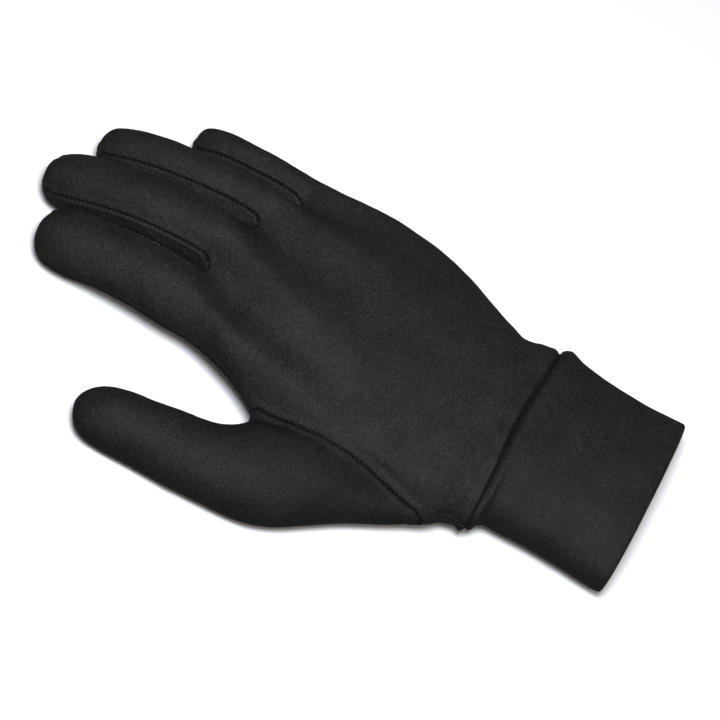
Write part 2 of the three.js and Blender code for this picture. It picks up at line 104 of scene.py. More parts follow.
# Edges of the thumb's seam on the back and on the palm, as shares of the wrist's breadth and
# depth
THUMB_SEAM = [
    dict(back_aside=0.592, back_up=0.57, palm_aside=0.58, palm_up=0.26),
    dict(back_aside=0.566, back_up=0.735, palm_aside=0.45, palm_up=0.08),
    dict(back_aside=0.563, back_up=0.8, palm_aside=0.465, palm_up=0.12),
    dict(back_aside=0.55, back_up=0.6, palm_aside=0.5, palm_up=0.33),
]
THUMB_SEAM_HEEL = dict(along=0.12, aside=0.595, up=0.43)
THUMB_SEAM_CROTCH = dict(along=0.7, aside=0.535, up=0.47)

# Sections along a finger. Fourchette is half the side strip's width, in degrees.
FINGER_SECTIONS = [
    dict(along=0.12, girth=1.0, lift=1.0, fourchette=36),
    dict(along=0.36, girth=1.0, lift=0.95, fourchette=35),
    dict(along=0.6, girth=0.985, lift=0.64, fourchette=34),
    dict(along=0.82, girth=0.95, lift=0.22, fourchette=30),
    dict(along=0.945, girth=0.7, lift=0.02, fourchette=20),
]
TIP_LIFT = -0.1

# Sections of the cuff from the wrist seam to the mouth
CUFF_SECTIONS = [
    dict(along=0.0, breadth=1.109, depth=0.979, aside=-0.0275),
    dict(along=0.07, breadth=1.08, depth=1.03, aside=0.02),
    dict(along=0.2, breadth=1.035, depth=1.02, aside=0.015),
    dict(along=0.55, breadth=1.005, depth=1.0, aside=0.003),
    dict(along=0.9, breadth=1.015, depth=1.0, aside=0),
    dict(along=1.0, breadth=1.02, depth=1.0, aside=0),
]

# Sections of the thumb, as shares of its spread, reach and width
THUMB_SECTIONS = [
    dict(outer=(0.86, 0.27), inner=(0.69, 0.612), thick=1.22),
    dict(outer=(1.065, 0.42), inner=(0.745, 0.64), thick=1.2),
    dict(outer=(1.13, 0.565), inner=(0.785, 0.695), thick=1.12),
    dict(outer=(1.145, 0.715), inner=(0.8, 0.765), thick=1.05),
    dict(outer=(1.14, 0.84), inner=(0.82, 0.85), thick=1.0),
    dict(outer=(1.145, 0.92), inner=(0.85, 0.92), thick=0.93),
    dict(outer=(1.12, 0.965), inner=(0.895, 0.97), thick=0.62),
]

HAND_COLUMNS = 20
ULNAR_COLUMN = 10
TOP_COLUMN = 5
UNDER_COLUMN = 15
COLUMN_FULLNESS = 0.85
FITTING_ROUNDS = 8
FINE_STEPS = 4
CORNER_STEPS = [(0, 0), (0, 1), (1, 1), (1, 0)]

# Knit and stitching
WALE_WIDTH = 0.9
COURSE_HEIGHT = 0.72
STITCH_PITCH = 1.7
THREAD_LENGTH = 1.0
THREAD_RADIUS = 0.2
THREAD_RISE = 0.32
THREAD_STEPS = 4
THREAD_SIDES = 6
THREAD_COLOUR = (0.006, 0.006, 0.008)
SEAM_SAMPLE = 0.15
SEAM_DEPTH = 0.8
SEAM_WIDTH = 0.42
SEAM_SQUEEZE = 0.55
SEAM_SQUEEZE_WIDTH = 1.6
WRIST_SEAM_WIDTH = 0.6
SEAM_DARKNESS = 0.7

# Soft lumps of the filled cloth and the bow of the wrist seam over the back
LUMP = 0.5
LUMP_SIZE = 17
RIPPLE = 0.16
RIPPLE_SIZE = 6.5
GRAIN_LUMP = 0.05
GRAIN_LUMP_SIZE = 2.4
WRIST_RIDGE = 0.95
WRIST_BOW = 2.2
WRIST_BOW_ASIDE = -4
WRIST_BOW_WIDTH = 26
WRIST_BOW_REACH = 14
REST_SOFTNESS = 0.4
MOUTH_STEPS = 6

# Creases on the back, each from start to end across the glove and along it
CREASES = [
    dict(start=(15, 38), end=(35, 15), bow=2, width=1.6, depth=0.35),
    dict(start=(20, 34), end=(31.5, 15), bow=1, width=1.0, depth=-0.3),
    dict(start=(23, 10), end=(30, 3), bow=0, width=3, depth=0.5),
]

# Looks of the cloth, with sizes and heights in millimetres
CLOTH_COLOUR = (0.0138, 0.0133, 0.0132)
CUFF_COLOUR = (0.0118, 0.0113, 0.0111)
# The thumb's colour is a darker copy of the hand's colour: painted shade on the thumb
SHADED_THUMB_COLOUR = (0.0105, 0.0103, 0.0103)
CLOTH_SPECULAR = 0.12
CLOTH_ROUGHNESS = (0.48, 0.62)
FUZZ_SIZE = 0.35
SPECK_SIZE = 0.6
CLUMP_SIZE = 1.3
MOTTLE_SIZE = 16
COLUMN_WANDER = 1.2
LOOP_HEIGHT = 0.09
FUZZ_HEIGHT = 0.2
CLUMP_HEIGHT = 0.3
PUCKER_HEIGHT = 0.1
BUMP_STRENGTH = 0.85
# Light flecks on the cloth: partly fluff on the knit and partly painted glints of fibres catching the
# light
LINT_AND_GLINT_SPACING = 2.4
LINT_AND_GLINT_BRIGHTNESS = 3.2

# Studio light, in metres and watts
LIGHTS = [
    dict(name="key", place=(-0.42, 0.05, 0.9), size=0.25, energy=13.5, colour=(0.84, 0.915, 1.0)),
    dict(name="fill", place=(-0.8, -0.5, 1.5), size=1.0, energy=4.5, colour=(1.0, 0.97, 0.92)),
]
WORLD_STRENGTH = 0.2
FLOOR_COLOUR = (0.97, 0.93, 0.90)
FLOOR_HALF = 4

# Photograph's view: a long lens, seen from the thumb's side and from above
LENS = 200
SENSOR = 36
VIEW_WIDTH = 259.5
VIEW_TARGET = (-1.3, 29.3, 16.5)
VIEW_ELEVATION = 55
VIEW_ROLL = 29.5


def fuller(value):
    """A sine or cosine with the sections' fuller corners"""
    return math.copysign(abs(value) ** COLUMN_FULLNESS, value)


def lerp(a, b, share):
    return a + (b - a) * share


def rounded(a, b, softness):
    """Smooth maximum of an array and a number"""
    return 0.5 * (a + b + np.sqrt((a - b) ** 2 + softness**2))


class Cage:
    """Coarse mesh of four-sided faces, each with its piece and its place on the knit"""

    def __init__(self):
        self.points = []
        self.faces = []
        self.pieces = []
        self.grain = []

    def add_point(self, point):
        self.points.append(np.array(point, float))
        return len(self.points) - 1

    def add_face(self, piece, corners, grain):
        self.faces.append(corners)
        self.pieces.append(piece)
        self.grain.append(grain)


def place_fingers():
    """Sets the fingers side by side from the middle one."""
    middle = 1
    FINGERS[middle]["aside"] = MIDDLE_ASIDE
    for i in reversed(range(middle)):
        spacing = (FINGERS[i]["width"] + FINGERS[i + 1]["width"]) / 2 + ROOTS[i + 1]["gap"]
        FINGERS[i]["aside"] = FINGERS[i + 1]["aside"] - spacing
    for i in range(middle + 1, len(FINGERS)):
        spacing = (FINGERS[i]["width"] + FINGERS[i - 1]["width"]) / 2 + ROOTS[i]["gap"]
        FINGERS[i]["aside"] = FINGERS[i - 1]["aside"] + spacing
    for i, finger in enumerate(FINGERS):
        finger["start"] = PALM_LENGTH * (ROOTS[i]["along"] + ROOTS[i + 1]["along"]) / 2
        finger["length"] = finger["reach"] - finger["start"]
        finger["knuckle"] = KNUCKLE_LIFT * (1 - finger["drop"])
        finger["tip"] = finger["depth"] / 2 - REST_FLATTENING


def finger_centre(finger, along, lift):
    x = finger["aside"] + finger["lean"] * finger["length"] * along
    y = finger["start"] + finger["length"] * along
    z = finger["tip"] + (finger["knuckle"] - finger["tip"]) * lift
    return np.array([x, y, z])


def finger_point(finger, centre, slope, angle, girth):
    """Point on a finger's oval, which leans with the slope of the finger"""
    turn = math.radians(angle)
    roll = math.radians(finger["roll"])
    aside = finger["width"] / 2 * girth * math.cos(turn)
    up = finger["depth"] / 2 * girth * math.sin(turn)
    x = aside * math.cos(roll) + up * math.sin(roll)
    z = up * math.cos(roll) - aside * math.sin(roll)
    return centre + np.array([x, -z * math.sin(slope), z * math.cos(slope)])


def finger_angles(half):
    """Angles of a finger's eight columns, from its thumb side over the back"""
    return [180, 180 - half, 90, half, 0, -half, -90, half - 180]


def web_points(i):
    """Points of the web between two fingers: on the back, between them and on the front"""
    before, after = FINGERS[i - 1], FINGERS[i]
    edge = before["aside"] + before["width"] / 2
    x = (edge + after["aside"] - after["width"] / 2) / 2
    y = PALM_LENGTH * ROOTS[i]["along"]
    middle = (before["knuckle"] + after["knuckle"]) / 2
    depth = (before["depth"] + after["depth"]) / 2
    back = np.array([x, y, middle + depth * ROOTS[i]["back"]])
    front = np.array([x, y, middle - depth * ROOTS[i]["front"]])
    return back, np.array([x, y, middle]), front


def knuckle_row():
    """The row of knuckles, one point for each of the hand's columns"""
    row = [None] * HAND_COLUMNS
    half = FINGER_SECTIONS[0]["fourchette"]
    for i, finger in enumerate(FINGERS):
        centre = finger_centre(finger, 0, 1)
        first = 1 + 2 * i
        row[first + 1] = finger_point(finger, centre, 0, 90, 1)
        row[HAND_COLUMNS - first - 1] = finger_point(finger, centre, 0, -90, 1)
        if i > 0:
            row[first], _, row[HAND_COLUMNS - first] = web_points(i)
    index = finger_centre(FINGERS[0], 0, 1)
    index[1] = PALM_LENGTH * ROOTS[0]["along"]
    row[0] = finger_point(FINGERS[0], index, 0, 180, 1)
    row[1] = finger_point(FINGERS[0], index, 0, 180 - half, 1)
    row[HAND_COLUMNS - 1] = finger_point(FINGERS[0], index, 0, half - 180, 1)
    little = finger_centre(FINGERS[-1], 0, 1)
    little[1] = PALM_LENGTH * ROOTS[-1]["along"]
    row[ULNAR_COLUMN - 1] = finger_point(FINGERS[-1], little, 0, half, 1)
    row[ULNAR_COLUMN] = finger_point(FINGERS[-1], little, 0, 0, 1)
    row[ULNAR_COLUMN + 1] = finger_point(FINGERS[-1], little, 0, -half, 1)
    return row


def section_spans(section):
    """Left, right, top and bottom of a section of the hand"""
    left = -WRIST_BREADTH * section["radial"]
    right = WRIST_BREADTH * section["ulnar"]
    return left, right, WRIST_DEPTH * section["top"], WRIST_DEPTH * section["bottom"]


def palm_row(section, knuckles):
    """One section of the palm, blended into the knuckles"""
    left, right, top, bottom = section_spans(section)
    share = section["knuckle"]
    row = []
    for column, knuckle in enumerate(knuckles):
        turn = math.pi - 2 * math.pi * column / HAND_COLUMNS
        x = (left + right) / 2 + (right - left) / 2 * fuller(math.cos(turn))
        z = (top + bottom) / 2 + (top - bottom) / 2 * fuller(math.sin(turn))
        y = section["along"] * lerp(PALM_LENGTH, knuckle[1], share)
        row.append(np.array([lerp(x, knuckle[0], share), y, lerp(z, knuckle[2], share)]))
    return row


def underside_height(section, x):
    """Height of the palm's underside below a place across its section"""
    left, right, top, bottom = section_spans(section)
    offset = abs(x - (left + right) / 2) / ((right - left) / 2)
    cosine = min(offset, 1) ** (1 / COLUMN_FULLNESS)
    sine = math.sqrt(1 - cosine * cosine)
    return (top + bottom) / 2 - (top - bottom) / 2 * sine**COLUMN_FULLNESS


def first_beside_thumb():
    """Number of the first section of the hand past the heel end of the thumb's seam"""
    along = [section["along"] for section in PALM_SECTIONS]
    return next(i for i, value in enumerate(along) if value > THUMB_SEAM_HEEL["along"])


def seat_thumb_seam(rows):
    """Moves the points beside the thumb's seam to it. The columns under the palm make room."""
    front = HAND_COLUMNS - 1
    first = first_beside_thumb()
    for i, seam in enumerate(THUMB_SEAM):
        section = PALM_SECTIONS[first + i]
        row = rows[first + i]
        shift = -WRIST_BREADTH * seam["palm_aside"] - row[front][0]
        for column in range(ULNAR_COLUMN + 1, front):
            near = (column - ULNAR_COLUMN) / (front - ULNAR_COLUMN)
            row[column][0] += shift * math.sqrt(near)
            height = underside_height(section, row[column][0])
            row[column][2] = lerp(row[column][2], height, (1 - section["knuckle"]) * near)
        row[1][0] = -WRIST_BREADTH * seam["back_aside"]
        row[1][2] = WRIST_DEPTH * seam["back_up"]
        row[front][0] = -WRIST_BREADTH * seam["palm_aside"]
        row[front][2] = WRIST_DEPTH * seam["palm_up"]
    for i, end in enumerate([THUMB_SEAM_HEEL, THUMB_SEAM_CROTCH]):
        row = rows[first + i * (len(THUMB_SEAM) - 1)]
        place = [-WRIST_BREADTH * end["aside"], PALM_LENGTH * end["along"]]
        row[0] = np.array([*place, WRIST_DEPTH * end["up"]])


def cuff_row(section):
    half_breadth = CUFF_BREADTH / 2 * section["breadth"]
    half_depth = CUFF_DEPTH / 2 * section["depth"]
    row = []
    for column in range(HAND_COLUMNS):
        turn = math.pi - 2 * math.pi * column / HAND_COLUMNS
        x = CUFF_ASIDE + CUFF_BREADTH * section["aside"] + half_breadth * fuller(math.cos(turn))
        z = CUFF_DEPTH / 2 - REST_FLATTENING / 2 + half_depth * fuller(math.sin(turn))
        row.append(np.array([x, -CUFF_LENGTH * section["along"], z]))
    return row


def girths(points):
    """Length round a closed ring, at each of its points and back at the first"""
    ring = np.array([*points, points[0]])
    steps = np.linalg.norm(np.diff(ring, axis=0), axis=1)
    return np.concatenate([[0], np.cumsum(steps)])


def hand_grain(rows, k, column, wrapped, under):
    """Place on the knit of a point of the hand: across from its middle column, and along"""
    around = girths(rows[k])
    across = around[column] - around[UNDER_COLUMN if under else TOP_COLUMN]
    if wrapped and not under:
        across -= around[-1]
    return np.array([across, rows[k][column % HAND_COLUMNS][1]])


def hand_piece(column):
    return "back" if column < ULNAR_COLUMN else "palm"


def build_hand(cage):
    """Builds the hand and the cuff, and returns the hand's rows, knuckles and thumb hole."""
    knuckles = knuckle_row()
    palm_rows = [palm_row(section, knuckles) for section in PALM_SECTIONS]
    seat_thumb_seam(palm_rows)
    cuff_rows = [cuff_row(section) for section in CUFF_SECTIONS][::-1]
    rows = [*cuff_rows, *palm_rows, knuckles]
    rings = [[cage.add_point(point) for point in row] for row in rows]
    wrist_ring = len(cuff_rows) - 1
    hole_start = len(cuff_rows) + first_beside_thumb()
    hole_end = hole_start + len(THUMB_SEAM) - 1
    for k in range(len(rings) - 1):
        for column in range(HAND_COLUMNS):
            following = (column + 1) % HAND_COLUMNS
            beside_thumb = column == 0 or following == 0
            if beside_thumb and hole_start <= k < hole_end:
                continue
            piece = "cuff" if k < wrist_ring else hand_piece(column)
            wrapped = column >= UNDER_COLUMN
            grain = [
                hand_grain(rows, k + up, column + right, wrapped, piece == "palm")
                for up, right in CORNER_STEPS
            ]
            below, above = rings[k], rings[k + 1]
            corners = [below[column], below[following], above[following], above[column]]
            cage.add_face(piece, corners, grain)
    return rows, rings[-1], rings[hole_start : hole_end + 1]


def fourchette_name(i):
    """Name of the strip on a finger's side, or nothing on an outer side"""
    if 1 <= i < len(FINGERS):
        return f"fourchette_{FINGERS[i - 1]['name']}_{FINGERS[i]['name']}"
    return None


def finger_pieces(i):
    """Pieces of a finger's eight columns, from its thumb side over the back"""
    thumb_side, little_side = fourchette_name(i), fourchette_name(i + 1)
    return [
        thumb_side or "back",
        "back",
        "back",
        little_side or "back",
        little_side or "palm",
        "palm",
        "palm",
        thumb_side or "palm",
    ]


def finger_grain(ring_points, corner, piece, along, start):
    """Place on the knit of a point of a finger, level with the hand's knit at its start"""
    around = girths(ring_points)
    middle = {"back": 2, "palm": 6}.get(piece, 4)
    across = around[corner] - around[middle]
    if piece == "palm" and corner == 0:
        across += around[-1]
    if middle == 4 and corner in (0, 1):
        across = around[corner] - around[0]
    if middle == 4 and corner in (7, 8):
        across = around[corner] - around[8]
    return np.array([start[piece == "palm"] + across, along])


def add_cap(cage, ring, middle, pieces, grain_of, tip_grain):
    """Closes a ring of an even number of points with a cap round a middle point."""
    count = len(ring)
    for i in range(0, count, 2):
        piece = pieces[i // 2]
        corners = [ring[i], ring[(i + 1) % count], ring[(i + 2) % count], middle]
        grain = [grain_of(piece, i), grain_of(piece, i + 1), grain_of(piece, i + 2)]
        cage.add_face(piece, corners, [*grain, tip_grain(piece)])


def build_fingers(cage, rows, knuckle_ring):
    """Builds the fingers on the ring of knuckles."""
    webs = [cage.add_point(web_points(i)[1]) for i in (1, 2, 3)]
    back_around = girths(rows[-1])
    last = len(FINGERS) - 1
    for i, finger in enumerate(FINGERS):
        first = 1 + 2 * i
        ring = [
            knuckle_ring[0] if i == 0 else webs[i - 1],
            knuckle_ring[first],
            knuckle_ring[first + 1],
            knuckle_ring[first + 2],
            knuckle_ring[ULNAR_COLUMN] if i == last else webs[i],
            knuckle_ring[HAND_COLUMNS - first - 2],
            knuckle_ring[HAND_COLUMNS - first - 1],
            knuckle_ring[HAND_COLUMNS - first],
        ]
        start = [
            back_around[first + 1] - back_around[TOP_COLUMN],
            back_around[HAND_COLUMNS - first - 1] - back_around[UNDER_COLUMN],
        ]
        pieces = finger_pieces(i)
        tip = finger_centre(finger, 1, TIP_LIFT)
        centres = [finger_centre(finger, s["along"], s["lift"]) for s in FINGER_SECTIONS]
        centres.append(tip)
        points = [cage.points[corner] for corner in ring]
        along = [point[1] for point in points]
        for k, section in enumerate(FINGER_SECTIONS):
            before, after = centres[max(k - 1, 0)], centres[k + 1]
            slope = math.atan2(after[2] - before[2], after[1] - before[1])
            upper_points = [
                finger_point(finger, centres[k], slope, angle, section["girth"])
                for angle in finger_angles(section["fourchette"])
            ]
            upper = [cage.add_point(point) for point in upper_points]
            upper_along = [centres[k][1]] * len(upper)
            for c, piece in enumerate(pieces):
                n = (c + 1) % len(upper)
                grain = [
                    finger_grain(points, c, piece, along[c], start),
                    finger_grain(points, c + 1, piece, along[n], start),
                    finger_grain(upper_points, c + 1, piece, upper_along[n], start),
                    finger_grain(upper_points, c, piece, upper_along[c], start),
                ]
                cage.add_face(piece, [ring[c], ring[n], upper[n], upper[c]], grain)
            ring, points, along = upper, upper_points, upper_along

        def ring_grain(piece, corner):
            return finger_grain(points, corner, piece, along[0], start)

        def tip_grain(piece):
            reach = along[0] + np.linalg.norm(tip - points[2])
            return np.array([start[piece == "palm"], reach])

        cap_pieces = ["back", "back", "palm", "palm"]
        add_cap(cage, ring, cage.add_point(tip), cap_pieces, ring_grain, tip_grain)


def build_thumb(cage, hole):
    """Builds the thumb on the edge of its hole, from the heel end over the back and round."""
    back = [ring[1] for ring in hole]
    front = [ring[HAND_COLUMNS - 1] for ring in hole]
    ring = [hole[0][0], *back, hole[-1][0], *front[::-1]]
    count = len(ring)
    # The knit is level along the back, midway between points 2 and 3 of the ring. It wraps round
    # from the underside, which starts at point 7.
    back_middle = 2.5
    underside_start = 7
    points = [cage.points[corner] for corner in ring]
    centre = sum(points) / count
    reach = 0

    def thumb_grain(ring_points, corner, wrapped, along):
        around = girths(ring_points)
        middle = (around[math.floor(back_middle)] + around[math.ceil(back_middle)]) / 2
        across = around[corner] - middle - (around[-1] if wrapped else 0)
        return np.array([across, along])

    for section in THUMB_SECTIONS:
        outer = np.array([-THUMB_SPREAD * section["outer"][0], THUMB_REACH * section["outer"][1], 0])
        inner = np.array([-THUMB_SPREAD * section["inner"][0], THUMB_REACH * section["inner"][1], 0])
        middle = (outer + inner) / 2
        across = (inner - outer) / 2
        half_depth = THUMB_WIDTH / 2 * section["thick"]
        height = THUMB_WIDTH / 2 * max(section["thick"], 1) - REST_FLATTENING / 2
        upper_points = []
        for i in range(count):
            turn = math.pi - 2 * math.pi * i / count
            place = middle + across * math.cos(turn)
            upper_points.append(place + np.array([0, 0, height + half_depth * math.sin(turn)]))
        upper = [cage.add_point(point) for point in upper_points]
        upper_centre = sum(upper_points) / count
        upper_reach = reach + np.linalg.norm(upper_centre - centre)
        for c in range(count):
            n = (c + 1) % count
            wrapped = c >= underside_start
            grain = [
                thumb_grain(points, c, wrapped, reach),
                thumb_grain(points, c + 1, wrapped, reach),
                thumb_grain(upper_points, c + 1, wrapped, upper_reach),
                thumb_grain(upper_points, c, wrapped, upper_reach),
            ]
            cage.add_face("thumb", [ring[c], ring[n], upper[n], upper[c]], grain)
        ring, points, centre, reach = upper, upper_points, upper_centre, upper_reach
    tip = np.array([-THUMB_SPREAD, THUMB_REACH, THUMB_WIDTH / 2 - REST_FLATTENING / 2])

    def ring_grain(piece, corner):
        return thumb_grain(points, corner, corner > underside_start, reach)

    def tip_grain(piece):
        return np.array([0, reach + np.linalg.norm(tip - points[2])])

    pieces = ["thumb"] * (count // 2)
    add_cap(cage, ring, cage.add_point(tip), pieces, ring_grain, tip_grain)


class Surface:
    """Mesh of four-sided faces as arrays"""

    def __init__(self, points, faces, pieces, grain):
        self.points = points
        self.faces = faces
        self.pieces = pieces
        self.grain = grain
        self.find_edges()

    def find_edges(self):
        """Lists the edges once, with each face's four edges and each edge's number of faces."""
        following = np.roll(self.faces, -1, axis=1)
        pairs = np.sort(np.stack([self.faces, following], axis=2).reshape(-1, 2), axis=1)
        self.edges, place = np.unique(pairs, axis=0, return_inverse=True)
        self.face_edges = place.reshape(-1, 4)
        self.edge_uses = np.bincount(place.ravel(), minlength=len(self.edges))
        self.on_rim = self.edge_uses == 1

    def sum_at(self, index, values):
        """Sum of the values at each point"""
        columns = [
            np.bincount(index, weights=values[:, axis], minlength=len(self.points))
            for axis in range(3)
        ]
        return np.stack(columns, axis=1)

    def neighbour_sums(self):
        """Sums of each point's neighbours and of its faces' opposite corners, and their number"""
        a, b = self.edges.T
        near = self.sum_at(a, self.points[b]) + self.sum_at(b, self.points[a])
        opposite = self.faces[:, [2, 3, 0, 1]].ravel()
        corners = self.faces.ravel()
        far = self.sum_at(corners, self.points[opposite])
        count = np.bincount(corners, minlength=len(self.points))
        rim_edges = self.edges[self.on_rim]
        a, b = rim_edges.T
        rim_near = self.sum_at(a, self.points[b]) + self.sum_at(b, self.points[a])
        is_rim = np.zeros(len(self.points), bool)
        is_rim[rim_edges.ravel()] = True
        return near, far, count[:, None], rim_near, is_rim[:, None]

    def limit(self):
        """Where each point comes to lie when the mesh is subdivided for ever"""
        near, far, n, rim_near, is_rim = self.neighbour_sums()
        inside = (n * n * self.points + 4 * near + far) / (n * (n + 5))
        rim = (rim_near + 4 * self.points) / 6
        return np.where(is_rim, rim, inside)

    def subdivided(self):
        """One step of smooth subdivision, each face into four"""
        near, far, n, rim_near, is_rim = self.neighbour_sums()
        inside = (1.5 * near + 0.25 * far) / (n * n) + self.points * (1 - 7 / (4 * n))
        rim = (rim_near + 6 * self.points) / 8
        moved = np.where(is_rim, rim, inside)
        middles = self.points[self.faces].mean(axis=1)
        count = len(self.points)
        middle_ids = count + np.arange(len(self.faces))
        ends = self.points[self.edges].sum(axis=1)
        beside = np.zeros_like(ends)
        for corner in range(4):
            np.add.at(beside, self.face_edges[:, corner], middles)
        on_rim = self.on_rim[:, None]
        edge_points = np.where(on_rim, ends / 2, (ends + beside) / 4)
        edge_ids = count + len(self.faces) + np.arange(len(self.edges))
        faces, grain = [], []
        grain_middle = self.grain.mean(axis=1)
        for corner in range(4):
            before, after = (corner - 1) % 4, (corner + 1) % 4
            faces.append(
                np.stack(
                    [
                        self.faces[:, corner],
                        edge_ids[self.face_edges[:, corner]],
                        middle_ids,
                        edge_ids[self.face_edges[:, before]],
                    ],
                    axis=1,
                )
            )
            here = self.grain[:, corner]
            half_after = (here + self.grain[:, after]) / 2
            half_before = (here + self.grain[:, before]) / 2
            grain.append(np.stack([here, half_after, grain_middle, half_before], axis=1))
        return Surface(
            np.concatenate([moved, middles, edge_points]),
            np.stack(faces, axis=1).reshape(-1, 4),
            np.repeat(self.pieces, 4),
            np.stack(grain, axis=1).reshape(-1, 4, 2),
        )


def fitted(cage):
    """The cage, moved so that the smooth surface runs through its sections"""
    targets = np.array(cage.points)
    surface = Surface(
        targets.copy(), np.array(cage.faces), np.array(cage.pieces), np.array(cage.grain)
    )
    for _ in range(FITTING_ROUNDS):
        surface.points = surface.points + targets - surface.limit()
    return surface


def point_normals(surface, points):
    a, b, c, d = (points[surface.faces[:, corner]] for corner in range(4))
    face_normals = np.cross(c - a, d - b)
    normals = np.zeros_like(points)
    for corner in range(4):
        np.add.at(normals, surface.faces[:, corner], face_normals)
    return normals / np.linalg.norm(normals, axis=1)[:, None]


def seam_chains(surface):
    """Seams as runs of points, each with the two pieces that it joins"""
    beside = [[] for _ in surface.edges]
    for face, edges in enumerate(surface.face_edges):
        for edge in edges:
            beside[edge].append(surface.pieces[face])
    links = {}
    for (a, b), pieces in zip(surface.edges, beside):
        if len(set(pieces)) == 2:
            joined = tuple(sorted(set(pieces)))
            links.setdefault(joined, {}).setdefault(a, []).append(b)
            links[joined].setdefault(b, []).append(a)
    chains = []
    for joined, near in links.items():
        left = {tuple(sorted((a, b))) for a in near for b in near[a]}
        ends = [a for a in near if len(near[a]) != 2]
        while left:
            open_ends = [a for a in ends if any(tuple(sorted((a, b))) in left for b in near[a])]
            chain = [open_ends[0] if open_ends else min(left)[0]]
            while True:
                steps = [b for b in near[chain[-1]] if tuple(sorted((chain[-1], b))) in left]
                if not steps:
                    break
                left.discard(tuple(sorted((chain[-1], steps[0]))))
                chain.append(steps[0])
            chains.append((joined, chain))
    return chains


def seam_samples(points, chain):
    """Close samples along a seam, with the length run at each"""
    line = points[chain]
    run = np.concatenate([[0], np.cumsum(np.linalg.norm(np.diff(line, axis=0), axis=1))])
    at = np.arange(0, run[-1], SEAM_SAMPLE)
    return np.stack([np.interp(at, run, line[:, axis]) for axis in range(3)], axis=1), at


def near_seams(surface, points, chains):
    """Each point's nearest seam place, its distance, the run there and whether it's the wrist's"""
    places, runs, wrists = [], [], []
    for joined, chain in chains:
        samples, at = seam_samples(points, chain)
        places.append(samples)
        runs.append(at)
        wrists.append(np.full(len(at), "cuff" in joined))
    places, runs, wrists = map(np.concatenate, (places, runs, wrists))
    tree = KDTree(len(places))
    for i, place in enumerate(places):
        tree.insert(place, i)
    tree.balance()
    found = [tree.find(point)[1:] for point in points]
    index = np.array([i for i, _ in found])
    distance = np.array([d for _, d in found])
    return places[index], distance, runs[index], wrists[index]


def lumps(points, size, seed):
    """Smooth noise with lumps of the given size"""
    shift = Vector((seed, -seed, seed))
    return np.array([noise.noise(Vector(point) / size + shift) for point in points])


def bump_at(distance, centre, width):
    return np.exp(-(((distance - centre) / width) ** 2))


def shaped_points(surface, chains):
    """The cloth's surface with its seams, ridges, creases and soft lumps"""
    smooth = surface.limit()
    across = (smooth[:, 0] - WRIST_BOW_ASIDE) / WRIST_BOW_WIDTH
    upper = np.clip((smooth[:, 2] - WRIST_DEPTH / 2) / (WRIST_DEPTH / 2), 0, 1)
    smooth[:, 1] += WRIST_BOW * np.exp(-(across**2) - (smooth[:, 1] / WRIST_BOW_REACH) ** 2) * upper
    place, distance, run, wrist = near_seams(surface, smooth, chains)
    squeeze = 1 - SEAM_SQUEEZE * bump_at(distance, 0, SEAM_SQUEEZE_WIDTH)
    smooth = place + (smooth - place) * squeeze[:, None]
    distance = distance * squeeze
    normals = point_normals(surface, smooth)
    height = LUMP * lumps(smooth, LUMP_SIZE, 1)
    height += RIPPLE * lumps(smooth, RIPPLE_SIZE, 2)
    height += GRAIN_LUMP * lumps(smooth, GRAIN_LUMP_SIZE, 3)
    height *= 1 - 0.7 * bump_at(distance, 0, 2)
    # Each seam is a groove with a low ridge beside it, and a shallow dip beyond the ridge.
    ordinary = -SEAM_DEPTH * bump_at(distance, 0, SEAM_WIDTH) + 0.22 * bump_at(distance, 1.1, 0.7)
    ordinary -= 0.18 * bump_at(distance, 3.2, 1.6)
    hand_side = smooth[:, 1] > place[:, 1]
    radial = 1 / (1 + np.exp((smooth[:, 0] - 14) / 6))
    hand_ridge = WRIST_RIDGE * bump_at(distance, 2.3, 1.1) - 0.3 * bump_at(distance, 5.2, 1.8)
    ridge = np.where(hand_side, hand_ridge, 0.5 * bump_at(distance, 2.0, 1.2))
    at_wrist = -SEAM_DEPTH * bump_at(distance, 0, WRIST_SEAM_WIDTH) + ridge * lerp(0.35, 1, radial)
    height += np.where(wrist, at_wrist, ordinary)
    gather = np.cos(smooth[:, 0] / 1.9 + 2.2 * lumps(smooth, 14, 4))
    height += np.where(wrist & hand_side, 0.2 * gather * bump_at(distance, 5, 4), 0)
    for crease in CREASES:
        height += crease_height(smooth, normals, crease)
    shaped = smooth + normals * height[:, None]
    shaped[:, 2] = rounded(shaped[:, 2], 0, REST_SOFTNESS)
    smooth[:, 2] = rounded(smooth[:, 2], 0, REST_SOFTNESS)
    return shaped, smooth, normals, np.stack([distance, run, wrist.astype(float)], axis=1)


def crease_height(points, normals, crease):
    """Valley along a short line on the back, with a soft ridge on each side"""
    start, end = (np.array(crease[name], float) for name in ("start", "end"))
    line = end - start
    length = np.linalg.norm(line)
    offset = points[:, :2] - start
    along = np.clip(offset @ line / length**2, 0, 1)
    bend = crease["bow"] * np.sin(np.pi * along)
    beside = np.array([-line[1], line[0]]) / length
    nearest = start + along[:, None] * line + bend[:, None] * beside
    distance = np.linalg.norm(points[:, :2] - nearest, axis=1)
    swell = np.sin(np.pi * np.clip(along, 0.04, 0.96)) ** 0.5
    facing = np.clip(normals[:, 2] * 3, 0, 1)
    width = crease["width"]
    shape = -bump_at(distance, 0, width) + 0.5 * bump_at(distance, 2 * width, width)
    return crease["depth"] * shape * swell * facing


def new_object(name, points, faces):
    """Mesh object in metres, from points measured from the wrist seam"""
    place = np.array([-HEEL_ASIDE, -HEEL_ALONG, 0])
    mesh = bpy.data.meshes.new(name)
    mesh.from_pydata(((points + place) * MM).tolist(), [], faces)
    mesh.shade_smooth()
    obj = bpy.data.objects.new(name, mesh)
    bpy.context.scene.collection.objects.link(obj)
    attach(obj, "root")
    return obj


def rim_of(faces):
    """Directed edges that a piece's faces don't share"""
    directed = {(a, b) for face in faces for a, b in zip(face, np.roll(face, -1))}
    return [(a, b) for a, b in directed if (b, a) not in directed]


